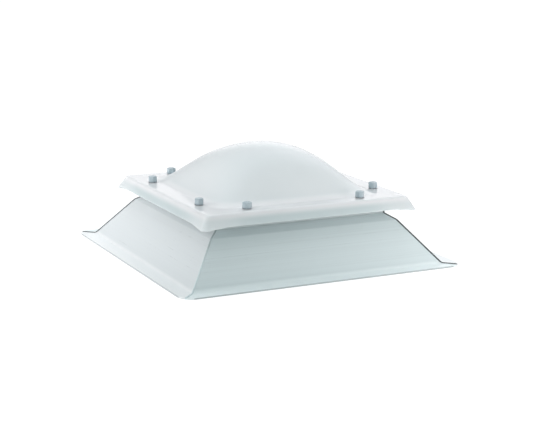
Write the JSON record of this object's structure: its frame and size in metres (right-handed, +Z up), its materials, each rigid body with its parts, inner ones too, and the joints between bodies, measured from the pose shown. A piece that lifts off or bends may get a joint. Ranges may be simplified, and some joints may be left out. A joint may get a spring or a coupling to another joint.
{
  "type": "dome skylight",
  "caption": "Fixed square dome skylight: blown opal acrylic dome with a skirted rim, screwed down with capped fixings to a sloping mitred upstand with a foot flange.",
  "frame": {"origin": "centre of the underside of the foot flange, on the roof plane", "axes": "+Z up, front towards -Y, sides square to X and Y"},
  "size_m": [0.7, 0.7, 0.2595],
  "materials": {
    "upstand": "extruded rigid PVC, satin, with fine lengthwise die lines",
    "joint_filler": "dark grey filled mitre joint",
    "head_frame": "extruded rigid PVC, satin",
    "seal": "black foam rubber strip",
    "dome": "opal acrylic, glossy",
    "washer": "stainless, dull",
    "screw": "stainless",
    "cap": "moulded blue-grey plastic"
  },
  "bodies": {
    "root": {"upstand_front": "upstand", "upstand_right": "upstand", "upstand_back": "upstand", "upstand_left": "upstand", "corner_joint_front_right": "joint_filler", "corner_joint_back_right": "joint_filler", "corner_joint_back_left": "joint_filler", "corner_joint_front_left": "joint_filler", "lower_seal_front": "seal", "lower_seal_right": "seal", "lower_seal_back": "seal", "lower_seal_left": "seal", "head_frame_front": "head_frame", "head_frame_right": "head_frame", "head_frame_back": "head_frame", "head_frame_left": "head_frame", "upper_seal_front": "seal", "upper_seal_right": "seal", "upper_seal_back": "seal", "upper_seal_left": "seal", "dome_outer_shell": "dome", "sealing_washers": "washer", "fixing_screws": "screw", "cap_right_back": "cap", "cap_right_front": "cap", "cap_back_left": "cap", "cap_back_right": "cap", "cap_left_front": "cap", "cap_left_back": "cap", "cap_front_right": "cap", "cap_front_left": "cap"}
  },
  "joints": []
}
